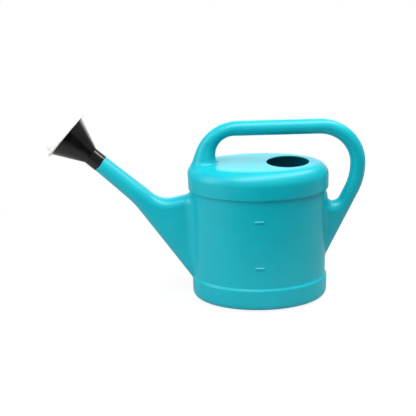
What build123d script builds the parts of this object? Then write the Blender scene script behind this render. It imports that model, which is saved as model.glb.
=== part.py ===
from build123d import *
import os
from math import atan2, cos, degrees, radians, sin, tan

# Watering can of about ten litres, in millimetres.
# The can is one hollow moulding, written as solids that meet face to face: the tank's foot, wall and
# top, the handle and the spout. Pushed on the spout's nose is the rose: a funnel with a plug-in face.
# +Z is up, -X is the spout's side and +X the rear. The origin is the centre of the tank's foot.

wall = 2.0

# Tank: an oval drum with a raised band round its foot and another round its shoulder
tank_length = 270.0
tank_width = 174.0
tank_height = 284.0
foot_band_height = 49.0
foot_band_step = 3.5
foot_corner_radius = 14.0
foot_ring_width = 26.0
foot_recess_depth = 4.0
shoulder_band_depth = 52.5
shoulder_band_step = 4.0
shoulder_radius = 26.0
band_edge_chamfer = 1.5

# Fill hole in the tank's top, behind its middle
fill_hole_diameter = 84.0
fill_hole_offset = 59.0

# Level marks: raised bars on the -Y side
lower_mark_height = 94.0
upper_mark_height = 190.0
mark_length = 18.0
mark_thickness = 3.4
mark_step = 1.0

# Handle: a round tube from the shoulder, over the tank and back down to the rear wall
grip_diameter = 29.2
grip_rise = 69.0
front_bend_radius = 65.0
front_bend_offset = 95.0
front_bend_turn = 60.0
rear_bend_radius = 76.0
rear_bend_offset = 15.5
rear_sweep_radius = 120.0
rear_leg_angle = 65.0

# Handle's flared root on the shoulder, and the flat web that ties its rear leg to the wall
root_length = 58.0
root_width = 44.0
root_angle = 82.0
root_offset = 27.7
root_depth = 22.0
web_width = 26.0
web_edge_radius = 10.0
crotch_radius = 15.0
crotch_depth = 67.5

# Spout: a round tube on a slant that deepens to a tall flat-sided root on the tank
spout_angle = 42.5
spout_reach = 176.5
spout_rise = 5.0
spout_tip_diameter = 34.4
spout_tube_length = 75.0
spout_root_width = 39.0
spout_edge_radius = 18.0
saddle_angle = 12.0
saddle_radius = 47.0
saddle_depth = 62.0
underside_foot_height = 36.0
underside_bend_length = 26.0
underside_bend_reach = 20.0

# Nose of the spout, and how the rose runs on it
nose_diameter = 31.9
nose_length = 22.0
nose_clearance = 0.05
seat_gap = 0.2

# Rose: a funnel on the spout's axis, and a face like a hat, plugged into the funnel's mouth
funnel_wall = 1.8
funnel_neck_length = 25.5
cone_length = 58.9
rim_diameter = 91.2
face_wall = 1.2
face_rise = 23.0
face_crown_diameter = 89.0
face_dome_radius = 125.0
face_edge_radius = 6.0
brim_diameter = 104.0
brim_thickness = 5.5
brim_edge_radius = 2.0
plug_depth = 6.5
plug_clearance = 0.1
spray_hole_diameter = 2.0
spray_ring_step = 7.5
spray_rings = 5
spray_holes_per_ring = 6

half_length = tank_length / 2
half_width = tank_width / 2
shoulder_band_foot = tank_height - shoulder_band_depth
grip_radius = grip_diameter / 2
grip_height = tank_height + grip_rise
inside_reach = 15.0  # how far the handle's and the spout's forms run on into the tank


def oval(level, grown):
    """An oval at a level, as large as the tank's wall grown by so much."""
    with BuildSketch(Plane.XY.offset(level)) as outline:
        Ellipse(half_length + grown, half_width + grown)
    return outline.sketch


def tank_form(inset):
    """The tank's outer form, or its hollow where the inset is the wall."""
    with BuildPart() as band:
        extrude(
            oval(shoulder_band_foot + inset, shoulder_band_step - inset),
            amount=shoulder_band_depth - 2 * inset,
        )
        fillet(band.edges().group_by(Axis.Z)[-1], shoulder_radius - inset)
        chamfer(band.edges().group_by(Axis.Z)[0], band_edge_chamfer)
    with BuildPart() as form:
        extrude(oval(inset, foot_band_step - inset), amount=foot_band_height - 2 * inset)
        fillet(form.edges().group_by(Axis.Z)[0], foot_corner_radius - inset)
        chamfer(form.edges().group_by(Axis.Z)[-1], band_edge_chamfer)
        extrude(oval(foot_corner_radius, -inset), amount=shoulder_band_foot)
        add(band.part)
        extrude(oval(0, inset - foot_ring_width), amount=foot_recess_depth + inset, mode=Mode.SUBTRACT)
    return form.part


def handle_line():
    """The handle's centreline, from the foot of the front bend to inside the rear wall."""
    turn = radians(front_bend_turn)
    bend_foot = (
        front_bend_offset - half_length - front_bend_radius * sin(turn),
        grip_height - front_bend_radius * (1 - cos(turn)),
    )
    rear_end = (half_length - rear_bend_offset, grip_height)
    with BuildLine(Plane.XZ) as line:
        front_bend = JernArc(bend_foot, (cos(turn), sin(turn)), front_bend_radius, -front_bend_turn)
        Line(front_bend @ 1, rear_end)
        rear_bend = JernArc(rear_end, (1, 0), rear_bend_radius, -90)
        rear_sweep = JernArc(rear_bend @ 1, rear_bend % 1, rear_sweep_radius, rear_leg_angle - 90)
        leg_run = (rear_sweep @ 1).X - half_length + inside_reach
        PolarLine(rear_sweep @ 1, leg_run / cos(radians(rear_leg_angle)), direction=rear_sweep % 1)
    return line.wires()[0]


def web_form(inset):
    """The web: a flat triangle under the rear leg, scooped by the round crotch."""
    leg_end = handle_line() @ 1
    scoop_height = tank_height - crotch_depth
    leg_top = leg_end.X + (scoop_height - leg_end.Z) / tan(radians(rear_leg_angle))
    scoop_x = half_length + crotch_radius - wall / 2
    with BuildPart() as form:
        with BuildSketch(Plane.XZ):
            with BuildLine():
                Polyline(
                    (leg_end.X, leg_end.Z), (leg_top, scoop_height), (leg_end.X, scoop_height), close=True
                )
            make_face()
            with Locations((scoop_x, scoop_height)):
                Circle(crotch_radius + inset, mode=Mode.SUBTRACT)
        extrude(amount=web_width / 2 - inset, both=True)
        scoop = form.faces().filter_by(GeomType.CYLINDER)
        fillet(scoop.edges() - scoop.edges().filter_by(Axis.Y), web_edge_radius - inset)
    return form.part


def tilted_plane(origin, angle):
    """A plane whose normal lies in the upright long plane, at an angle above the rear."""
    return Plane(
        origin=origin,
        x_dir=(sin(radians(angle)), 0, -cos(radians(angle))),
        z_dir=(cos(radians(angle)), 0, sin(radians(angle))),
    )


def handle_form(inset):
    """The handle's outer form, or its hollow where the inset is the wall."""
    line = handle_line()
    web = web_form(inset)
    root_foot = (root_offset - half_length, 0, tank_height - root_depth)
    with BuildPart() as form:
        with BuildSketch(tilted_plane(line @ 0, front_bend_turn)) as tube_end:
            Circle(grip_radius - inset)
        sweep(path=line)
        with BuildSketch(tilted_plane(root_foot, root_angle)):
            Ellipse(root_length / 2 - inset, root_width / 2 - inset)
        add(tube_end.sketch)
        loft(ruled=True)
        add(web)
    return form.part


def heading(angle):
    """A unit step in the upright long plane, at an angle above the rear."""
    return Vector(cos(radians(angle)), sin(radians(angle)))


def meeting(start, angle, other_start, other_angle):
    """Where two straight lines of the long plane cross."""
    normal = heading(other_angle + 90)
    run = (other_start - start).dot(normal) / heading(angle).dot(normal)
    return start + heading(angle) * run


def upright(point):
    """A point of the long plane, put in space."""
    return Vector(point.X, 0, point.Y)


# Spout's axis: from the tip it runs down and to the rear
spout_tip = Vector(-half_length - spout_reach, tank_height + spout_rise)
tube_foot = spout_tip + heading(-spout_angle) * spout_tube_length
tip_plane = Plane(origin=upright(spout_tip), z_dir=upright(heading(180 - spout_angle)))
tube_foot_plane = tip_plane.offset(-spout_tube_length)


def spout_root_outline(inset):
    """The spout root's side, from the tube's foot to the inside of the tank."""
    up = heading(90 - spout_angle) * (spout_root_width / 2)
    bend = tube_foot - up + heading(-spout_angle) * underside_bend_length
    fall = bend - Vector(-half_length, underside_foot_height)
    underside_angle = -degrees(atan2(fall.Y, -fall.X))
    bend += heading(90 - spout_angle) * inset
    bend += heading(-spout_angle) * inset * tan(radians((-underside_angle - spout_angle) / 2))
    crown = Vector(-half_length, tank_height - saddle_depth) + heading(saddle_angle - 90) * inset
    up = heading(90 - spout_angle) * (spout_root_width / 2 - inset)
    inside = Vector(inside_reach - half_length, 0)
    saddle = meeting(tube_foot + up, -spout_angle, crown, saddle_angle)
    crown_end = meeting(crown, saddle_angle, inside, 90)
    foot_end = meeting(bend, underside_angle, inside, 90)
    bend_radius = underside_bend_reach / tan(radians((-underside_angle - spout_angle) / 2))
    with BuildSketch(Plane.XZ) as outline:
        with BuildLine():
            Polyline(tube_foot + up, saddle, crown_end, foot_end, bend, tube_foot - up, close=True)
        make_face()
        fillet(outline.vertices().sort_by_distance(saddle)[0], saddle_radius + inset)
        fillet(outline.vertices().sort_by_distance(bend)[0], bend_radius + inset)
    return outline.sketch


def spout_form(inset):
    """The spout's outer form up to its tip, or its hollow where the inset is the wall."""
    with BuildPart() as form:
        extrude(spout_root_outline(inset), amount=spout_root_width / 2 - inset, both=True)
        flanks = form.faces().filter_by(Axis.Y)
        tube_end = form.faces().sort_by_distance(upright(tube_foot))[0]
        tank_end = form.faces().sort_by(Axis.X)[-1]
        fillet(flanks.edges() - tube_end.edges() - tank_end.edges(), spout_edge_radius - inset)
        with BuildSketch(tube_foot_plane):
            Circle(spout_root_width / 2 - inset)
        with BuildSketch(tip_plane.offset(-inset)):
            Circle(spout_tip_diameter / 2 - inset)
        loft(ruled=True)
    return form.part


tank_outer = tank_form(0)
tank_hollow = tank_form(wall)
handle_hollow = handle_form(wall)
spout_hollow = spout_form(wall)

# The whole tank, open at the fill hole, to the hollow handle and to the hollow spout
with BuildPart() as tank_shell:
    add(tank_outer)
    for mark_height in (lower_mark_height, upper_mark_height):
        with BuildSketch(Plane.XZ.offset(half_width + mark_step)):
            with Locations((0, mark_height)):
                SlotOverall(mark_length, mark_thickness)
        extrude(amount=-mark_step - wall / 2)
    add(tank_hollow, mode=Mode.SUBTRACT)
    with BuildSketch(Plane.XY.offset(tank_height)):
        with Locations((fill_hole_offset, 0)):
            Circle(fill_hole_diameter / 2)
    extrude(amount=-2 * wall, mode=Mode.SUBTRACT)
    add(handle_hollow, mode=Mode.SUBTRACT)
    add(spout_hollow, mode=Mode.SUBTRACT)

# Its three lengths meet where the bands step in
with BuildPart() as tank_foot:
    add(tank_shell.part)
    split(bisect_by=Plane.XY.offset(foot_band_height), keep=Keep.BOTTOM)

with BuildPart() as tank_wall:
    add(tank_shell.part)
    split(bisect_by=Plane.XY.offset(foot_band_height), keep=Keep.TOP)
    split(bisect_by=Plane.XY.offset(shoulder_band_foot), keep=Keep.BOTTOM)

with BuildPart() as tank_top:
    add(tank_shell.part)
    split(bisect_by=Plane.XY.offset(shoulder_band_foot), keep=Keep.TOP)

# Handle, which ends on the tank's outer surface
with BuildPart() as handle:
    add(handle_form(0))
    add(handle_hollow, mode=Mode.SUBTRACT)
    add(tank_outer, mode=Mode.SUBTRACT)

# Spout, with the narrower nose beyond its tip
with BuildPart() as spout:
    add(spout_form(0))
    add(spout_hollow, mode=Mode.SUBTRACT)
    add(tank_outer, mode=Mode.SUBTRACT)
    with BuildSketch(tip_plane):
        Circle(nose_diameter / 2)
    extrude(amount=nose_length)
    with BuildSketch(tip_plane.offset(-2 * wall)):
        Circle(nose_diameter / 2 - wall)
    extrude(amount=nose_length + 2 * wall, mode=Mode.SUBTRACT)

# Rose profiles are drawn as distance beyond the spout's tip against radius
rose_axis = Axis(tip_plane.origin, tip_plane.z_dir)
rose_section = Plane(origin=tip_plane.origin, x_dir=tip_plane.z_dir, z_dir=(0, 1, 0))
neck_bore = nose_diameter / 2 + nose_clearance
neck_end = funnel_neck_length
rim_radius = rim_diameter / 2
rim_end = neck_end + cone_length
cone_slope = (rim_radius - neck_bore - funnel_wall) / cone_length
cone_wall = funnel_wall * (1 + cone_slope**2) ** 0.5  # the wall measured square to the axis
mouth_radius = rim_radius - cone_wall

with BuildPart() as rose_funnel:
    with BuildSketch(rose_section):
        with BuildLine():
            Polyline(
                (seat_gap, neck_bore),
                (seat_gap, neck_bore + funnel_wall),
                (neck_end, neck_bore + funnel_wall),
                (rim_end, rim_radius),
                (rim_end, mouth_radius),
                (neck_end + (cone_wall - funnel_wall) / cone_slope, neck_bore),
                close=True,
            )
        make_face()
    revolve(axis=rose_axis)

# Face: a tapered plug in the funnel's mouth, a brim on its rim and a domed crown
brim_seat = rim_end + seat_gap
brim_end = brim_seat + brim_thickness
plug_end = rim_end - plug_depth
plug_radius = mouth_radius - plug_clearance
plug_end_radius = plug_radius - plug_depth * cone_slope


def domed_outline(foot, inset):
    """Half the section of the domed crown, drawn solid on a foot that starts at the axis."""
    side_radius = face_crown_diameter / 2 - inset
    dome_radius = face_dome_radius - inset
    dome_centre = rim_end + face_rise - face_dome_radius
    apex = (dome_centre + dome_radius, 0)
    corner = (dome_centre + (dome_radius**2 - side_radius**2) ** 0.5, side_radius)
    with BuildSketch(rose_section) as outline:
        with BuildLine():
            Polyline(apex, *foot, corner)
            RadiusArc(corner, apex, dome_radius)
        make_face()
        fillet(outline.vertices().sort_by_distance(corner)[0], face_edge_radius - inset)
    return outline.sketch


with BuildPart() as rose_face:
    with BuildSketch(rose_section) as brim:
        with BuildLine():
            Polyline(
                (plug_end, 0),
                (plug_end, plug_end_radius),
                (brim_seat, plug_radius + seat_gap * cone_slope),
                (brim_seat, brim_diameter / 2),
                (brim_end, brim_diameter / 2),
                (brim_end, 0),
                close=True,
            )
        make_face()
        fillet(brim.vertices().group_by(Axis.Y)[-1], brim_edge_radius)
    revolve(axis=rose_axis)
    crown_foot = [(brim_seat, 0), (brim_seat, face_crown_diameter / 2)]
    add(domed_outline(crown_foot, 0))
    revolve(axis=rose_axis)
    hollow_foot = [
        (plug_end, 0),
        (plug_end, plug_end_radius - face_wall),
        (brim_seat + face_wall, plug_radius - face_wall),
        (brim_seat + face_wall, face_crown_diameter / 2 - face_wall),
    ]
    add(domed_outline(hollow_foot, face_wall))
    revolve(axis=rose_axis, mode=Mode.SUBTRACT)
    with BuildSketch(tip_plane.offset(rim_end + face_rise)):
        Circle(spray_hole_diameter / 2)
        for ring in range(1, spray_rings + 1):
            with PolarLocations(spray_ring_step * ring, spray_holes_per_ring * ring):
                Circle(spray_hole_diameter / 2)
    extrude(amount=brim_thickness - face_rise, mode=Mode.SUBTRACT)

os.makedirs("parts", exist_ok=True)
tank_foot.part.label = "tank_foot"
export_step(tank_foot.part, "parts/tank_foot.step")
tank_wall.part.label = "tank_wall"
export_step(tank_wall.part, "parts/tank_wall.step")
tank_top.part.label = "tank_top"
export_step(tank_top.part, "parts/tank_top.step")
handle.part.label = "handle"
export_step(handle.part, "parts/handle.step")
spout.part.label = "spout"
export_step(spout.part, "parts/spout.step")
rose_funnel.part.label = "rose_funnel"
export_step(rose_funnel.part, "parts/rose_funnel.step")
rose_face.part.label = "rose_face"
export_step(rose_face.part, "parts/rose_face.step")
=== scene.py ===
import math

import bpy
import bmesh
import numpy as np
from mathutils import Matrix, Vector


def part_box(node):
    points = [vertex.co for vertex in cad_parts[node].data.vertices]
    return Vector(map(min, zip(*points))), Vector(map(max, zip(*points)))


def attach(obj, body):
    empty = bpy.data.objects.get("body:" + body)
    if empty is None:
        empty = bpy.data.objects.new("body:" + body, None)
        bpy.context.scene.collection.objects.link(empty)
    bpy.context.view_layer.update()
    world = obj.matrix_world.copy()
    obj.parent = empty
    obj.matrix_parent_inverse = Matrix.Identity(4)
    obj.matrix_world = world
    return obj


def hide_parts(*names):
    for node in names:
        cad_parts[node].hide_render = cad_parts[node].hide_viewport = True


# Watering can: one blow-moulded turquoise can, a black funnel pushed on its spout and a white
# perforated face in the funnel. Shapes are worked out in millimetres and scaled once, as they
# become meshes.

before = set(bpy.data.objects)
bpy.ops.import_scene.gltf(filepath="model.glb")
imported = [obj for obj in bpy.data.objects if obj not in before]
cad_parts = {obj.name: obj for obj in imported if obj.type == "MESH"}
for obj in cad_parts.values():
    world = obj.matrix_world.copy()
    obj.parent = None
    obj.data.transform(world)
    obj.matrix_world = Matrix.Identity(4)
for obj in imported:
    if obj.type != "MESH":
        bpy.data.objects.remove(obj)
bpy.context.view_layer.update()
print("frame loaded:", ", ".join(sorted(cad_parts)))

metresPerMm = 0.001
mmPerMetre = 1000

# the tank's half length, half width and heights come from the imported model
wallLow, wallHigh = (np.array(corner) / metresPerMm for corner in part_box("tank_wall"))
footTop = wallLow[2]
bandFoot = wallHigh[2]
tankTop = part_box("tank_top")[1].z / metresPerMm

tank = {
    "halfLength": wallHigh[0],
    "halfWidth": wallHigh[1],
    "wallThickness": 2.0,
    "footStep": 3.5,            # the foot's and the band's steps stand out from the plain wall
    "footCorner": 14.0,
    "footRing": 26.0,
    "recess": 4.0,
    "bandStep": 4.0,
    "bandRise": 2.4,            # the band's edge is this far above the wall's top
    "bandSlope": 1.8,           # and its underside slopes in over this height
    "bandHollow": 2.4,
    "shoulderRadius": 26.0,
    "edgeRound": 1.8,
    "ridgeTop": 0.4,
    "ridgeFoot": 3.7,
    "ridgeRound": 2.6,
    "holeX": 59.0,
    "holeRadius": 42.0,
    "wayHalfWidth": 17.0,       # the water's way into the spout, hidden behind its root
    "wayHeights": (64.0, 205.0),
    "wayRound": 15.0,
    "ringPoints": 288,
}
sharpAngle = 32     # degrees: edges that turn more than this shade as edges


def lengthOf(vector):
    return np.sqrt((np.asarray(vector) ** 2).sum(-1))


# Corners are (x, z, radius): each one turns on an arc of its own radius, drawn with a point every
# few degrees, and a radius of 0 keeps the corner sharp.
def roundedCorners(corners, degreesPerPoint=2.0):
    points = []
    for i, (x, z, radius) in enumerate(corners):
        here = np.array((x, z), float)
        if radius == 0:
            points.append(here)
            continue
        back = np.array(corners[i - 1][:2]) - here
        onward = np.array(corners[(i + 1) % len(corners)][:2]) - here
        back, onward = back / lengthOf(back), onward / lengthOf(onward)
        halfAngle = math.acos(max(-1.0, min(1.0, back @ onward))) / 2
        middle = (back + onward) / lengthOf(back + onward)
        centre = here + middle * radius / math.sin(halfAngle)
        first = here + back * radius / math.tan(halfAngle) - centre
        last = here + onward * radius / math.tan(halfAngle) - centre
        turn = math.atan2(first[0] * last[1] - first[1] * last[0], first @ last)
        steps = max(2, math.ceil(abs(math.degrees(turn)) / degreesPerPoint))
        for angle in np.linspace(0, turn, steps + 1):
            cosine, sine = math.cos(angle), math.sin(angle)
            turned = (first[0] * cosine - first[1] * sine, first[0] * sine + first[1] * cosine)
            points.append(centre + turned)
    return np.array(points)


def newPiece(name, points, faces, sharpFrom=sharpAngle):
    mesh = bpy.data.meshes.new(name)
    inMetres = (np.asarray(points) * metresPerMm).tolist()
    mesh.from_pydata(inMetres, [], [list(map(int, face)) for face in faces])
    mesh.validate()
    mesh.shade_smooth()
    mesh.set_sharp_from_angle(angle=math.radians(sharpFrom))
    piece = bpy.data.objects.new(name, mesh)
    bpy.context.scene.collection.objects.link(piece)
    return piece


# Joins rings of points, all the same length, into a skin. Caps close the first and last ring.
def skinOfRings(rings, capFirst=False, capLast=False, closed=False):
    count = len(rings[0])
    points = np.concatenate(rings)
    faces = []
    for ring in range(len(rings) if closed else len(rings) - 1):
        here, beyond = ring * count, (ring + 1) % len(rings) * count
        for i in range(count):
            j = (i + 1) % count
            faces.append((here + i, here + j, beyond + j, beyond + i))
    if capFirst:
        faces.append(range(count - 1, -1, -1))
    if capLast:
        faces.append(range((len(rings) - 1) * count, len(rings) * count))
    return points, faces


# The distances below are in millimetres, and minus inside a form.
def outlineDistance(x, z, outline):
    nearest, inside = 1e12, False
    for (ax, az), (bx, bz) in zip(outline, np.roll(outline, -1, 0)):
        ex, ez = bx - ax, bz - az
        along = np.clip(((x - ax) * ex + (z - az) * ez) / (ex * ex + ez * ez), 0, 1)
        nearest = np.minimum(nearest, (x - ax - along * ex) ** 2 + (z - az - along * ez) ** 2)
        inside = inside ^ (((az > z) != (bz > z)) & (x < ax + (z - az) * ex / (ez or 1e-9)))
    return np.where(inside, -1, 1) * np.sqrt(nearest)


# the nearest point of the oval is found by sliding along it, with its evolute as the guide
def ovalDistance(x, y):
    a, b = tank["halfLength"], tank["halfWidth"]
    px, py = np.abs(x) + 1e-6, np.abs(y) + 1e-6
    tx = ty = math.sqrt(0.5)
    for _ in range(5):
        ex, ey = (a * a - b * b) * tx**3 / a, (b * b - a * a) * ty**3 / b
        reach = np.hypot(a * tx - ex, b * ty - ey) / np.hypot(px - ex, py - ey)
        tx = np.clip(((px - ex) * reach + ex) / a, 0, 1)
        ty = np.clip(((py - ey) * reach + ey) / b, 0, 1)
        size = np.hypot(tx, ty)
        tx, ty = tx / size, ty / size
    outside = np.where((px / a) ** 2 + (py / b) ** 2 < 1, -1, 1)
    return outside * np.hypot(px - a * tx, py - b * ty)


# a slab with rounded edges: as thick as twice half, and edge is how far outside its outline
def slabDistance(edge, y, half, rounding):
    out, side = edge + rounding, np.abs(y) - (half - rounding)
    beyond = np.hypot(np.maximum(out, 0), np.maximum(side, 0))
    return beyond + np.minimum(np.maximum(out, side), 0) - rounding


# where two forms meet, the hollow between them fills to about this radius
def blended(first, second, radius):
    near = np.maximum(radius - np.abs(first - second), 0) / radius
    return np.minimum(first, second) - near * near * radius / 4


# Half the tank's section: how far it stands out from the plain wall, against height. Its two ends
# are anywhere inside the tank's flat bottom and top.
def tankProfile(inset):
    foot, band, soft = tank["footStep"] - inset, tank["bandStep"] - inset, tank["edgeRound"]
    ring = inset - tank["footRing"]
    return roundedCorners([
        (ring - 20, tank["recess"] + inset, 0),
        (ring, tank["recess"] + inset, soft),
        (ring, inset, soft),
        (foot, inset, tank["footCorner"] - inset),
        (foot, footTop - tank["ridgeFoot"] - inset, tank["ridgeRound"]),
        (-inset, footTop + tank["ridgeTop"] - inset, soft),
        (-inset, bandFoot + tank["bandRise"] - tank["bandSlope"] + inset, tank["bandHollow"]),
        (band, bandFoot + tank["bandRise"] + inset, soft / 2),
        (band, tankTop - inset, tank["shoulderRadius"] - inset),
        (-50, tankTop - inset, 0),
    ], degreesPerPoint=7.5)


tankOutline = tankProfile(0)


def tankDistance(x, y, z):
    return outlineDistance(ovalDistance(x, y), z, tankOutline)


# A skin over the place where a distance is zero: each grid cell that it crosses gets one point, and
# each grid edge that it crosses a face.
def skinOfDistance(distance, low, high, cell):
    axes = [np.arange(a, b + cell, cell) for a, b in zip(low, high)]
    value = distance(*np.meshgrid(*axes, indexing="ij", sparse=True))
    size = np.array(value.shape) - 1
    corners = [(i, j, k) for i in (0, 1) for j in (0, 1) for k in (0, 1)]
    at = {c: value[c[0]:c[0] + size[0], c[1]:c[1] + size[1], c[2]:c[2] + size[2]] for c in corners}
    crossed = np.abs(sum(np.sign(v) for v in at.values())) < 8
    cells = np.argwhere(crossed)
    at = {c: v[crossed] for c, v in at.items()}
    total, count = np.zeros((len(cells), 3)), np.zeros(len(cells))
    for start in corners:
        for axis in range(3):
            if start[axis]:
                continue
            end = tuple(v + (i == axis) for i, v in enumerate(start))
            crosses = (at[start] < 0) != (at[end] < 0)
            share = np.where(crosses, at[start] / (at[start] - at[end] + 1e-12), 0)
            for i in range(3):
                total[:, i] += crosses * (start[i] + (share if i == axis else 0))
            count += crosses
    numbers = np.full(tuple(size), -1)
    numbers[tuple(cells.T)] = np.arange(len(cells))
    points = np.array(low) + cell * (cells + total / np.maximum(count, 1)[:, None])
    faces = []
    solid = value < 0
    for axis in range(3):
        u, v = np.eye(3, dtype=int)[(axis + 1) % 3], np.eye(3, dtype=int)[(axis + 2) % 3]
        here = np.take(solid, range(size[axis]), axis)
        beyond = np.take(solid, range(1, size[axis] + 1), axis)
        edges = np.argwhere(here != beyond)
        edges = edges[((edges - u - v) >= 0).all(1) & (edges < size).all(1)]
        quads = np.stack([numbers[tuple((edges - s).T)] for s in (0 * u, u, u + v, v)], 1)
        outward = here[tuple(edges.T)]
        quads[~outward] = quads[~outward][:, ::-1]
        faces.append(quads)
    return points, np.concatenate(faces)


# Moves each point onto the surface, and gives the surface's own normals there. The slope comes from
# four places round the point, each as far from it on every axis as reach.
def settled(points, distance, reach=0.5):
    for _ in range(3):
        value, slope = 0, 0
        for step in ((1, -1, -1), (-1, -1, 1), (-1, 1, -1), (1, 1, 1)):
            there = distance(*(points + np.array(step) * reach).T)
            value = value + there / 4
            slope = slope + there[:, None] * np.array(step) / (4 * reach)
        steep = np.maximum((slope**2).sum(1), 0.2)
        points = points - slope * (value / steep)[:, None]
    return points, slope / lengthOf(slope)[:, None]


# A form that grows out of the tank: only what stands proud of the tank is kept, and the rim sinks
# a hair into it, so that the two surfaces run into each other with no edge.
def grownPiece(name, distance, form, keptFrom=0.03, sunkBelow=0.06, sunkBy=0.1):
    points, faces = skinOfDistance(distance, *form["space"], form["cell"])
    points, normals = settled(points, distance)
    proud = tankDistance(*points.T)
    faces = faces[(proud[faces] > keptFrom).any(1)]
    points = points - normals * np.where(proud < sunkBelow, sunkBy, 0)[:, None]
    used = np.unique(faces)
    renumbered = np.zeros(len(points), int)
    renumbered[used] = np.arange(len(used))
    piece = newPiece(name, points[used], renumbered[faces], sharpFrom=180)
    piece.data.normals_split_custom_set_from_vertices(normals[used].tolist())
    print(name, "skin:", len(faces), "faces")
    return piece


# one ring round the tank, as far outside the plain wall as grown
def ovalRing(grown, level):
    a, b = tank["halfLength"], tank["halfWidth"]
    turn = np.linspace(0, 2 * math.pi, tank["ringPoints"], endpoint=False)
    normal = np.stack([b * np.cos(turn), a * np.sin(turn)], 1)
    normal /= lengthOf(normal)[:, None]
    x = a * np.cos(turn) + grown * normal[:, 0]
    y = b * np.sin(turn) + grown * normal[:, 1]
    return np.column_stack([x, y, np.full(len(turn), level)])


# long plain stretches get rings between, so that no face is much longer than it is wide
def evenedProfile(profile, longest=12.0):
    points = [profile[0]]
    for a, b in zip(profile[:-1], profile[1:]):
        steps = max(1, math.ceil(lengthOf(b - a) / longest))
        points += [a + (b - a) * k / steps for k in range(1, steps + 1)]
    return points


# an outline drawn out along an axis, from low to high
def cutter(name, outline, low, high, axis):
    ends = [np.insert(outline, axis, end, 1) for end in (low, high)]
    piece = newPiece(name, *skinOfRings(ends, True, True))
    bm = bmesh.new()
    bm.from_mesh(piece.data)
    bmesh.ops.recalc_face_normals(bm, faces=bm.faces)
    bm.to_mesh(piece.data)
    bm.free()
    return piece


def cutAway(piece, cutters):
    for tool in cutters:
        cut = piece.modifiers.new("cut", "BOOLEAN")
        cut.operation, cut.solver, cut.object = "DIFFERENCE", "EXACT", tool
    graph = bpy.context.evaluated_depsgraph_get()
    cutMesh = bpy.data.meshes.new_from_object(piece.evaluated_get(graph))
    piece.modifiers.clear()
    piece.data = cutMesh
    for tool in cutters:
        bpy.data.objects.remove(tool)
    piece.data.set_sharp_from_angle(angle=math.radians(sharpAngle))


def circle(x, y, radius, count=128):
    turn = np.linspace(0, 2 * math.pi, count, endpoint=False)
    return np.column_stack([x + radius * np.cos(turn), y + radius * np.sin(turn)])


# the tank is an outer skin and an inner one, and each cutter reaches past both at its hole
def tankSkin(inset):
    rings = [ovalRing(*point) for point in evenedProfile(tankProfile(inset))]
    return skinOfRings(rings, capFirst=True, capLast=True)


outside, inside = tankSkin(0), tankSkin(tank["wallThickness"])
shellPoints = np.concatenate([outside[0], inside[0]])
shellFaces = outside[1] + [[len(outside[0]) + v for v in reversed(f)] for f in inside[1]]
tankPiece = newPiece("can_tank", shellPoints, shellFaces)
holeOutline = circle(tank["holeX"], 0, tank["holeRadius"])
fillHole = cutter("fillHole", holeOutline, tankTop - 12, tankTop + 5, axis=2)
wayY, (wayLow, wayHigh), wayRound = tank["wayHalfWidth"], tank["wayHeights"], tank["wayRound"]
wayOutline = roundedCorners([
    (-wayY, wayLow, wayRound), (wayY, wayLow, wayRound),
    (wayY, wayHigh, wayRound), (-wayY, wayHigh, wayRound),
], degreesPerPoint=10)
spoutHole = cutter("spoutHole", wayOutline, -150, -115, axis=0)
cutAway(tankPiece, [fillHole, spoutHole])
print("tank:", len(tankPiece.data.polygons), "faces")

# Each level mark is a small ledge: it slopes out and down from the wall, and is square underneath.
levelMark = {
    "length": 18.5,
    "height": 3.6,
    "lowerRound": 0.5,
    "upperRound": 1.2,
    # each ring's shrink, how far it stands out of the wall, and how far its top drops
    "rings": ((-0.2, -0.4, 0.0), (0.0, 0.0, 0.0), (0.05, 1.52, 1.0), (0.25, 1.9, 1.4)),
    "heights": (94.0, 190.0),
}


def markRing(level, shrink, out, drop):
    halfLength, bottom = levelMark["length"] / 2 - shrink, shrink - levelMark["height"] / 2
    top = -bottom - drop
    ring = roundedCorners([
        (-halfLength, bottom, levelMark["lowerRound"]), (halfLength, bottom, levelMark["lowerRound"]),
        (halfLength, top, levelMark["upperRound"]), (-halfLength, top, levelMark["upperRound"]),
    ], degreesPerPoint=15)
    wallY = tank["halfWidth"] * np.sqrt(1 - (ring[:, 0] / tank["halfLength"]) ** 2)
    return np.column_stack([ring[:, 0], -wallY - out, level + ring[:, 1]])


marks = []
for level in levelMark["heights"]:
    rings = [markRing(level, *ring) for ring in levelMark["rings"]]
    marks.append(newPiece(f"can_mark_{level:.0f}", *skinOfRings(rings, capLast=True), sharpFrom=40))

# The handle is one looped tube. It widens where it stands on the shoulder, and in the web that ties
# its rear leg to the wall.
handle = {
    "tubeRadius": 14.6,
    "rootExtra": 5.4,
    "rootTop": 322.0,           # below this height the root widens, all of it over rootOver
    "rootOver": 40.0,
    "webExtra": 5.0,
    "webHeight": 186.0,         # the web is widest here
    "webReach": 60.0,           # and is the tube again so far above and below
    "webRear": 178.0,           # and again towards the rear, over webOver up to here
    "webOver": 30.0,
    "blend": ((90, 2.5), (140, 6.0), (200, 11.0)),     # height, fillet with the tank
    "space": ((-150, -32, 70), (214, 32, 372)),
    "cell": 1.5,
    "corners": [
        (-122, 240, 0), (-136, 270, 0), (-98.8, 367.6, 90), (210.1, 367.6, 90.6),
        (210.1, 245.05, 134.6), (135, 84, 0), (120, 52, 0), (112, 215, 0), (134.6, 215, 0),
        (134.6, 201.4, 13), (157.6, 201.4, 15), (180.9, 251.5, 105.4), (180.9, 338.4, 61.4),
        (-87.6, 338.4, 38), (-78.5, 262, 0),
    ],
}
handleOutline = roundedCorners(handle["corners"])


# 0 up to 1 with no kink at either end
def eased(share):
    share = np.clip(share, 0, 1)
    return share * share * (3 - 2 * share)


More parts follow.
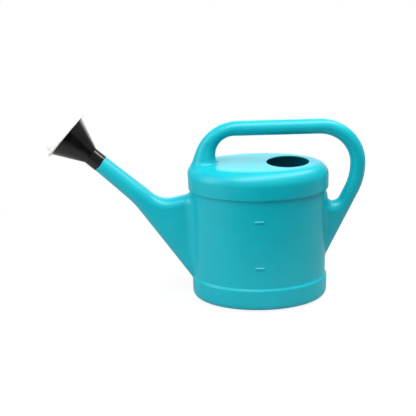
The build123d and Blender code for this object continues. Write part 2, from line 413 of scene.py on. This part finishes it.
def handleDistance(x, y, z):
    root = eased((handle["rootTop"] - z) / handle["rootOver"]) * (x < 0)
    upright = np.clip(1 - np.abs(z - handle["webHeight"]) / handle["webReach"], 0, 1)
    across = np.clip((handle["webRear"] - x) / handle["webOver"], 0, 1)
    web = eased(upright * across) * (x > 0)
    half = handle["tubeRadius"] + handle["rootExtra"] * root + handle["webExtra"] * web
    return slabDistance(outlineDistance(x, z, handleOutline), y, half, half)


def handleOnTank(x, y, z):
    fillet = np.interp(z, *zip(*handle["blend"]))
    return blended(tankDistance(x, y, z), handleDistance(x, y, z), fillet)


handlePiece = grownPiece("can_handle", handleOnTank, handle)

# The spout is a round tube on a slant that deepens to a tall, flat-sided root on the tank.
spout = {
    "angle": 42.5,
    "tip": (-311.5, 289.0),
    "tipRadius": 17.2,
    "tubeLength": 75.0,
    "tubeHalf": 18.9,
    "tubeBend": 120.0,
    "rootHalf": 19.5,
    "rootEdge": 17.0,           # radius of the long edges at the root
    "rootStart": 89.0,          # the root's width is reached this far from the tip
    "edgeSwell": 2.3,
    "overrun": 8.0,             # past the tip, to be cut off square
    "blend": ((48, 2.0), (80, 11.0), (130, 15.0), (205, 18.0), (228, 9.0)),
    "space": ((-340, -40, 22), (-96, 40, 312)),
    "cell": 1.5,
    "rootCorners": [
        (-195.6, 209.1, 47), (-135, 222, 0), (-118, 225, 0), (-118, 10.9, 0), (-135, 36, 0),
        (-250.2, 206.4, 170),
    ],
}
slant = math.radians(spout["angle"])
spoutRun = np.array((math.cos(slant), -math.sin(slant)))
spoutUp = np.array((math.sin(slant), math.cos(slant)))
spoutTip = np.array(spout["tip"])


def besideSpout(along, up):
    return tuple(spoutTip + spoutRun * along + spoutUp * up)


spoutOutline = roundedCorners([
    (*besideSpout(-spout["overrun"], -spout["tipRadius"]), 0),
    (*besideSpout(-spout["overrun"], spout["tipRadius"]), 0),
    (*besideSpout(0, spout["tipRadius"]), 0),
    (*besideSpout(spout["tubeLength"], spout["tubeHalf"]), spout["tubeBend"]),
    *spout["rootCorners"],
    (*besideSpout(spout["tubeLength"], -spout["tubeHalf"]), spout["tubeBend"]),
    (*besideSpout(0, -spout["tipRadius"]), 0),
])


def spoutDistance(x, y, z):
    along = (x - spoutTip[0]) * spoutRun[0] + (z - spoutTip[1]) * spoutRun[1]
    grown = np.clip(along / spout["rootStart"], 0, 1)
    half = spout["tipRadius"] + (spout["rootHalf"] - spout["tipRadius"]) * grown
    edge = spout["tipRadius"] + (spout["rootEdge"] - spout["tipRadius"]) * grown**3
    edge = np.minimum(half, edge + spout["edgeSwell"] * grown * (1 - grown))
    return slabDistance(outlineDistance(x, z, spoutOutline), y, half, edge)


def spoutOnTank(x, y, z):
    fillet = np.interp(z, *zip(*spout["blend"]))
    return blended(tankDistance(x, y, z), spoutDistance(x, y, z), fillet)


spoutPiece = grownPiece("can_spout", spoutOnTank, spout)

# the spout's end is cut square to its axis
bm = bmesh.new()
bm.from_mesh(spoutPiece.data)
tipPoint = Vector((spoutTip[0], 0, spoutTip[1])) * metresPerMm
tipNormal = Vector((-spoutRun[0], 0, -spoutRun[1]))
bmesh.ops.bisect_plane(bm, geom=bm.verts[:] + bm.edges[:] + bm.faces[:], dist=1e-6,
                       plane_co=tipPoint, plane_no=tipNormal, clear_outer=True)
bm.to_mesh(spoutPiece.data)
bm.free()


# A profile is (distance beyond the spout's tip, radius), turned about the spout's axis.
def lathed(name, profile, closed=True, count=128):
    turn = np.linspace(0, 2 * math.pi, count, endpoint=False)
    rings = []
    for along, radius in profile:
        side = radius * np.cos(turn)
        rings.append(np.column_stack([
            spoutTip[0] - spoutRun[0] * along + spoutUp[0] * side,
            radius * np.sin(turn),
            spoutTip[1] - spoutRun[1] * along + spoutUp[1] * side,
        ]))
    return newPiece(name, *skinOfRings(rings, closed=closed), sharpFrom=30)


# the nose closes the spout's end, and carries the rose
nose = {"radius": 15.95, "bore": 13.95, "length": 22.0, "boreRunsBack": 34.0}
nosePiece = lathed("can_nose", roundedCorners([
    (0, spout["tipRadius"], 0),
    (0, nose["radius"], 0.4),
    (nose["length"], nose["radius"], 0.8),
    (nose["length"], nose["bore"], 0.5),
    (-nose["boreRunsBack"], nose["bore"], 0),
], degreesPerPoint=15), closed=False)

funnel = {
    "neckRadius": 17.8,
    "neckBore": 16.0,
    "neckLength": 25.5,
    "coneBoreFrom": 26.1,
    "rimRadius": 45.6,
    "rimBore": 43.6,
    "length": 84.4,
    "seat": 0.2,                # a hair of room between the neck's end and the spout
}
funnelProfile = roundedCorners([
    (funnel["seat"], funnel["neckBore"], 0.3),
    (funnel["seat"], funnel["neckRadius"], 0.7),
    (funnel["neckLength"], funnel["neckRadius"], 4.0),
    (funnel["length"], funnel["rimRadius"], 0.8),
    (funnel["length"], funnel["rimBore"], 0.4),
    (funnel["coneBoreFrom"], funnel["neckBore"], 2.0),
], degreesPerPoint=7.5)
funnelPiece = lathed("rose_funnel_skin", evenedProfile(funnelProfile, longest=6.0))

canPieces = [tankPiece, handlePiece, spoutPiece, nosePiece] + marks
for piece in canPieces:
    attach(piece, "can")
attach(funnelPiece, "funnel")
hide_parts("tank_foot", "tank_wall", "tank_top")
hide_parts("handle")
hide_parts("spout")
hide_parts("rose_funnel")
print("pieces made")

def linear(hexColour):
    channels = [int(hexColour[i:i + 2], 16) / 255 for i in (1, 3, 5)]
    return (*(c / 12.92 if c <= 0.04045 else ((c + 0.055) / 1.055) ** 2.4 for c in channels), 1.0)


# Adds a node, sets what is given by name and links what comes from another node. Inputs that share
# a name are given by number, as i0, i1 and so on.
def node(tree, kind, settings=None, **inputs):
    made = tree.nodes.new(kind)
    for key, value in (settings or {}).items():
        setattr(made, key, value)
    for key, value in inputs.items():
        byNumber = key[0] == "i" and key[1:].isdigit()
        socket = made.inputs[int(key[1:]) if byNumber else key.replace("_", " ")]
        if isinstance(value, bpy.types.NodeSocket):
            tree.links.new(value, socket)
        else:
            socket.default_value = value
    return made


# settings that several nodes share; a mix of colours takes them at i6 and i7 and gives output 2
times = {"operation": "MULTIPLY"}
smooth = {"interpolation_type": "SMOOTHSTEP"}
ofColours = {"data_type": "RGBA"}


def newMaterial(name):
    material = bpy.data.materials.new(name)
    material.use_nodes = True
    material.node_tree.nodes.clear()
    return material, material.node_tree


# Blow-moulded polyethylene: satin, a little waxy, with the fine orange peel of a blasted mould, soft
# waves where the wall cooled, and a thin raised line where the mould's halves met
canPlastic = {
    "colour": "#00B2C4",
    "deepColour": "#00AEC0",
    "wornColour": "#3FB7C4",
    "roughness": 0.35,
    "roughnessSpread": 0.05,
    "peelMm": 4.5,              # real grain is near 0.3 mm; drawn coarser so that it shows
    "peelDepthMm": 0.1,
    "waveMm": 42.0,
    "waveDepthMm": 1.2,
    "scuffMm": 6.0,
    "scuffTopMm": 30.0,         # scuffs fade out up to this height
    "wornShare": 0.5,
    "wornRoughness": 0.2,
    "seamHalfMm": 0.45,         # as fine as a real parting line, so it only shows close up
    "seamHeightMm": 0.25,
}


def canMaterial():
    material, tree = newMaterial("blowMouldedPolyethylene")
    place = node(tree, "ShaderNodeTexCoord").outputs["Object"]
    apart = node(tree, "ShaderNodeSeparateXYZ", Vector=place)
    peel = node(tree, "ShaderNodeTexNoise", Vector=place, Scale=mmPerMetre / canPlastic["peelMm"],
                Detail=2.0)
    wave = node(tree, "ShaderNodeTexNoise", Vector=place, Scale=mmPerMetre / canPlastic["waveMm"],
                Detail=3.0)
    scuff = node(tree, "ShaderNodeTexNoise", Vector=place, Scale=mmPerMetre / canPlastic["scuffMm"],
                 Detail=6.0, Roughness=0.7)
    shade = node(tree, "ShaderNodeMapRange", Value=wave.outputs[0], From_Min=0.35, From_Max=0.68)
    tone = node(tree, "ShaderNodeMix", ofColours, Factor=shade.outputs[0],
                i6=linear(canPlastic["deepColour"]), i7=linear(canPlastic["colour"]))
    # the foot gets the most rubbing
    low = node(tree, "ShaderNodeMapRange", Value=apart.outputs[2],
               From_Min=canPlastic["scuffTopMm"] * metresPerMm, From_Max=0.0)
    rubbed = node(tree, "ShaderNodeMapRange", Value=scuff.outputs[0], From_Min=0.56, From_Max=0.70)
    worn = node(tree, "ShaderNodeMath", times, i0=low.outputs[0], i1=rubbed.outputs[0])
    wornSoft = node(tree, "ShaderNodeMath", times, i0=worn.outputs[0], i1=canPlastic["wornShare"])
    colour = node(tree, "ShaderNodeMix", ofColours, Factor=wornSoft.outputs[0],
                  i6=tone.outputs[2], i7=linear(canPlastic["wornColour"]))
    roughness = node(tree, "ShaderNodeMapRange", Value=wave.outputs[0], From_Min=0.3, From_Max=0.7,
                     To_Min=canPlastic["roughness"] - canPlastic["roughnessSpread"],
                     To_Max=canPlastic["roughness"] + canPlastic["roughnessSpread"])
    roughened = node(tree, "ShaderNodeMath", {"operation": "MULTIPLY_ADD"}, i0=worn.outputs[0],
                     i1=canPlastic["wornRoughness"], i2=roughness.outputs[0])
    # the seam runs round the can in its upright long plane
    aside = node(tree, "ShaderNodeMath", {"operation": "ABSOLUTE"}, i0=apart.outputs[1])
    seam = node(tree, "ShaderNodeMapRange", smooth, Value=aside.outputs[0],
                From_Min=2 * canPlastic["seamHalfMm"] * metresPerMm, From_Max=0.0)
    seamBump = node(tree, "ShaderNodeBump", Strength=0.6,
                    Distance=canPlastic["seamHeightMm"] * metresPerMm, Height=seam.outputs[0])
    waveBump = node(tree, "ShaderNodeBump", Strength=0.25,
                    Distance=canPlastic["waveDepthMm"] * metresPerMm, Height=wave.outputs[0],
                    Normal=seamBump.outputs[0])
    peelBump = node(tree, "ShaderNodeBump", Strength=0.15,
                    Distance=canPlastic["peelDepthMm"] * metresPerMm, Height=peel.outputs[0],
                    Normal=waveBump.outputs[0])
    shader = node(tree, "ShaderNodeBsdfPrincipled", Base_Color=colour.outputs[2],
                  Roughness=roughened.outputs[0], IOR=1.5, Specular_IOR_Level=0.36,
                  Normal=peelBump.outputs[0])
    node(tree, "ShaderNodeOutputMaterial", Surface=shader.outputs[0])
    return material


# Injection-moulded polypropylene, black: smooth and glossy, with faint flow marks that change its
# gloss and a fine unevenness that breaks up its highlights
funnelPlastic = {
    "colour": "#060607",
    "dustyColour": "#0E0E0F",
    "roughness": 0.12,
    "flowMm": 18.0,
    "unevenMm": 3.5,            # really near 0.5 mm; drawn coarser so that it shows
    "unevenDepthMm": 0.1,
}


def funnelMaterial():
    material, tree = newMaterial("injectionMouldedPolypropylene")
    place = node(tree, "ShaderNodeTexCoord").outputs["Object"]
    flow = node(tree, "ShaderNodeTexNoise", Vector=place, Scale=mmPerMetre / funnelPlastic["flowMm"],
                Detail=4.0)
    uneven = node(tree, "ShaderNodeTexNoise", Vector=place,
                  Scale=mmPerMetre / funnelPlastic["unevenMm"], Detail=3.0)
    shade = node(tree, "ShaderNodeMapRange", Value=flow.outputs[0], From_Min=0.35, From_Max=0.7)
    colour = node(tree, "ShaderNodeMix", ofColours, Factor=shade.outputs[0],
                  i6=linear(funnelPlastic["colour"]), i7=linear(funnelPlastic["dustyColour"]))
    roughness = node(tree, "ShaderNodeMapRange", Value=flow.outputs[0], From_Min=0.3, From_Max=0.7,
                     To_Min=funnelPlastic["roughness"] - 0.05,
                     To_Max=funnelPlastic["roughness"] + 0.08)
    bump = node(tree, "ShaderNodeBump", Strength=0.05,
                Distance=funnelPlastic["unevenDepthMm"] * metresPerMm, Height=uneven.outputs[0])
    shader = node(tree, "ShaderNodeBsdfPrincipled", Base_Color=colour.outputs[2],
                  Roughness=roughness.outputs[0], IOR=1.49, Specular_IOR_Level=0.40,
                  Normal=bump.outputs[0])
    node(tree, "ShaderNodeOutputMaterial", Surface=shader.outputs[0])
    return material


# Injection-moulded polyethylene, white: satin, very slightly warm, a touch greyer where dust settles
facePlastic = {
    "colour": "#F9F9F7",
    "dustyColour": "#F1F1EE",
    "roughness": 0.38,
    "dustMm": 14.0,
    "peelMm": 4.0,              # real grain is near 0.3 mm; drawn coarser so that it shows
    "peelDepthMm": 0.1,
}


def faceMaterial():
    material, tree = newMaterial("injectionMouldedPolyethylene")
    place = node(tree, "ShaderNodeTexCoord").outputs["Object"]
    dust = node(tree, "ShaderNodeTexNoise", Vector=place, Scale=mmPerMetre / facePlastic["dustMm"],
                Detail=5.0)
    peel = node(tree, "ShaderNodeTexNoise", Vector=place, Scale=mmPerMetre / facePlastic["peelMm"],
                Detail=2.0)
    shade = node(tree, "ShaderNodeMapRange", Value=dust.outputs[0], From_Min=0.35, From_Max=0.7)
    colour = node(tree, "ShaderNodeMix", ofColours, Factor=shade.outputs[0],
                  i6=linear(facePlastic["colour"]), i7=linear(facePlastic["dustyColour"]))
    roughness = node(tree, "ShaderNodeMapRange", Value=dust.outputs[0], From_Min=0.3, From_Max=0.7,
                     To_Min=facePlastic["roughness"] - 0.04, To_Max=facePlastic["roughness"] + 0.06)
    bump = node(tree, "ShaderNodeBump", Strength=0.15,
                Distance=facePlastic["peelDepthMm"] * metresPerMm, Height=peel.outputs[0])
    shader = node(tree, "ShaderNodeBsdfPrincipled", Base_Color=colour.outputs[2],
                  Roughness=roughness.outputs[0], IOR=1.5, Normal=bump.outputs[0])
    node(tree, "ShaderNodeOutputMaterial", Surface=shader.outputs[0])
    return material


canFinish, funnelFinish, faceFinish = canMaterial(), funnelMaterial(), faceMaterial()
for piece in canPieces:
    piece.data.materials.clear()
    piece.data.materials.append(canFinish)
funnelPiece.data.materials.append(funnelFinish)
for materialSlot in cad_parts["rose_face"].material_slots:
    materialSlot.material = faceFinish
print("materials made")

studio = {
    "floorColour": "#F4F4F4",
    "paleBounce": "#BCBCBC",
    "darkBounce": "#303030",
    "cardEdge": (-0.22, -0.55),         # metres in front of the can's middle, where the card starts
    "cardEnd": (-0.46, -0.30),          # metres to the left of it, where the card ends
    "floorSize": 8.0,
    "toothMm": 8.9,                     # paper's tooth is far finer; drawn coarser so that it shows
    "floorLevel": -0.0002,              # a hair under the foot, so that the two never share a plane
    "whiteShare": 0.88,                 # how white the floor is seen where the shadow falls
    "whiteFrom": (0.35, 0.9),           # metres from the can's middle, from there up to all white
    "roomColour": "#F7FAFC",
    "roomStrength": 0.42,
    "backdropStrength": 2.0,
    "backdropEdge": (0.62, 0.95),       # share of a direction that points back: its start and its full
    "lampsAimAt": (0.0, 0.0, 0.18),
    "lamps": {                          # watts, colour, place in metres, width, height
        "overhead": (41.5, "#FFFFF6", (0.3, -0.31, 1.65), 2.7, 0.6),
        "left": (11.5, "#FCFFFF", (-1.5, -0.7, 0.9), 0.8, 1.2),
    },
}


# Matt white paper. It is seen white nearly everywhere, and keeps the can's soft shadow.
def floorMaterial():
    material, tree = newMaterial("paperSweep")
    material.cycles.emission_sampling = "NONE"     # its white is for the camera, and lights nothing
    rays = node(tree, "ShaderNodeLightPath")
    place = node(tree, "ShaderNodeTexCoord").outputs["Object"]
    # seen white, all of it where no shadow reaches
    away = node(tree, "ShaderNodeVectorMath", {"operation": "LENGTH"}, i0=place)
    share = node(tree, "ShaderNodeMapRange", Value=away.outputs["Value"],
                 From_Min=studio["whiteFrom"][0], From_Max=studio["whiteFrom"][1],
                 To_Min=studio["whiteShare"])
    seen = node(tree, "ShaderNodeMath", times, i0=rays.outputs["Is Camera Ray"], i1=share.outputs[0])
    # with no vector the pattern runs from 0 to 1 over the whole floor
    tooth = node(tree, "ShaderNodeTexNoise",
                 Scale=studio["floorSize"] * mmPerMetre / studio["toothMm"])
    bump = node(tree, "ShaderNodeBump", Strength=0.05, Distance=0.0002, Height=tooth.outputs[0])
    # what lights and mirrors in the can is pale paper behind and beside it and a dark card in front
    apart = node(tree, "ShaderNodeSeparateXYZ", Vector=place)
    front = node(tree, "ShaderNodeMapRange", smooth, Value=apart.outputs[1],
                 From_Min=studio["cardEdge"][0], From_Max=studio["cardEdge"][1])
    inward = node(tree, "ShaderNodeMapRange", smooth, Value=apart.outputs[0],
                  From_Min=studio["cardEnd"][0], From_Max=studio["cardEnd"][1])
    card = node(tree, "ShaderNodeMath", times, i0=front.outputs[0], i1=inward.outputs[0])
    bounce = node(tree, "ShaderNodeMix", ofColours, Factor=card.outputs[0],
                  i6=linear(studio["paleBounce"]), i7=linear(studio["darkBounce"]))
    shade = node(tree, "ShaderNodeMix", ofColours, Factor=rays.outputs["Is Camera Ray"],
                 i6=bounce.outputs[2], i7=linear(studio["floorColour"]))
    paper = node(tree, "ShaderNodeBsdfDiffuse", Color=shade.outputs[2], Normal=bump.outputs[0])
    white = node(tree, "ShaderNodeEmission", Color=(1, 1, 1, 1), Strength=1.0)
    mixed = node(tree, "ShaderNodeMixShader", i0=seen.outputs[0], i1=paper.outputs[0],
                 i2=white.outputs[0])
    node(tree, "ShaderNodeOutputMaterial", Surface=mixed.outputs[0])
    return material


floorHalf = studio["floorSize"] / 2
floorCorners = [(x * floorHalf, y * floorHalf, studio["floorLevel"])
                for x, y in ((-1, -1), (1, -1), (1, 1), (-1, 1))]
floorMesh = bpy.data.meshes.new("studio_floor")
floorMesh.from_pydata(floorCorners, [], [(0, 1, 2, 3)])
floorMesh.materials.append(floorMaterial())
floor = bpy.data.objects.new("studio_floor", floorMesh)
bpy.context.scene.collection.objects.link(floor)

world = bpy.data.worlds.new("studio")
bpy.context.scene.world = world
world.cycles.sampling_method = "NONE"     # it is smooth, so that the lamps get all the light samples
world.use_nodes = True
tree = world.node_tree
tree.nodes.clear()
rays = node(tree, "ShaderNodeLightPath")
seen = node(tree, "ShaderNodeMath", {"operation": "MAXIMUM"}, i0=rays.outputs["Is Camera Ray"],
            i1=rays.outputs["Is Transmission Ray"])
# a bright backdrop beyond the can and a dim room on the near side of it light the can
place = node(tree, "ShaderNodeTexCoord").outputs["Generated"]
apart = node(tree, "ShaderNodeSeparateXYZ", Vector=place)
glow = node(tree, "ShaderNodeMapRange", smooth, Value=apart.outputs[1],
            From_Min=studio["backdropEdge"][0], From_Max=studio["backdropEdge"][1],
            To_Min=studio["roomStrength"], To_Max=studio["backdropStrength"])
around = node(tree, "ShaderNodeBackground", Color=linear(studio["roomColour"]),
              Strength=glow.outputs[0])
behind = node(tree, "ShaderNodeBackground", Color=(1, 1, 1, 1), Strength=1.0)
either = node(tree, "ShaderNodeMixShader", i0=seen.outputs[0], i1=around.outputs[0],
              i2=behind.outputs[0])
node(tree, "ShaderNodeOutputWorld", Surface=either.outputs[0])


def softLight(name, power, colour, place, width, height):
    lamp = bpy.data.lights.new(name, "AREA")
    lamp.shape, lamp.size, lamp.size_y, lamp.energy = "RECTANGLE", width, height, power
    lamp.color = linear(colour)[:3]
    light = bpy.data.objects.new(name, lamp)
    light.location = place
    aim = Vector(studio["lampsAimAt"]) - Vector(place)
    light.rotation_euler = aim.to_track_quat("-Z", "Y").to_euler()
    bpy.context.scene.collection.objects.link(light)


for name, lamp in studio["lamps"].items():
    softLight(name, *lamp)
print("studio made")

# the viewing angle: degrees, metres, and the lens in millimetres
view = {
    "azimuth": 3.02,
    "elevation": 19.42,
    "roll": 2.22,
    "distance": 1.41469,
    "target": (-0.10132, 0.0, 0.19037),
    "lens": 60.6,
    "sensor": 36.0,
}
azimuth, elevation, roll = (math.radians(view[key]) for key in ("azimuth", "elevation", "roll"))
ahead = Vector((-math.sin(azimuth) * math.cos(elevation), math.cos(azimuth) * math.cos(elevation),
                -math.sin(elevation)))
level = Vector((math.cos(azimuth), math.sin(azimuth), 0))
upright = level.cross(ahead)
right = level * math.cos(roll) - upright * math.sin(roll)
up = level * math.sin(roll) + upright * math.cos(roll)
camera = bpy.data.objects.new("camera", bpy.data.cameras.new("camera"))
camera.data.sensor_width = view["sensor"]
camera.data.lens = view["lens"]
standing = Matrix.Translation(Vector(view["target"]) - ahead * view["distance"])
camera.matrix_world = standing @ Matrix((right, up, -ahead)).transposed().to_4x4()
bpy.context.scene.collection.objects.link(camera)
bpy.context.scene.camera = camera
bpy.context.scene.view_settings.view_transform = "Standard"
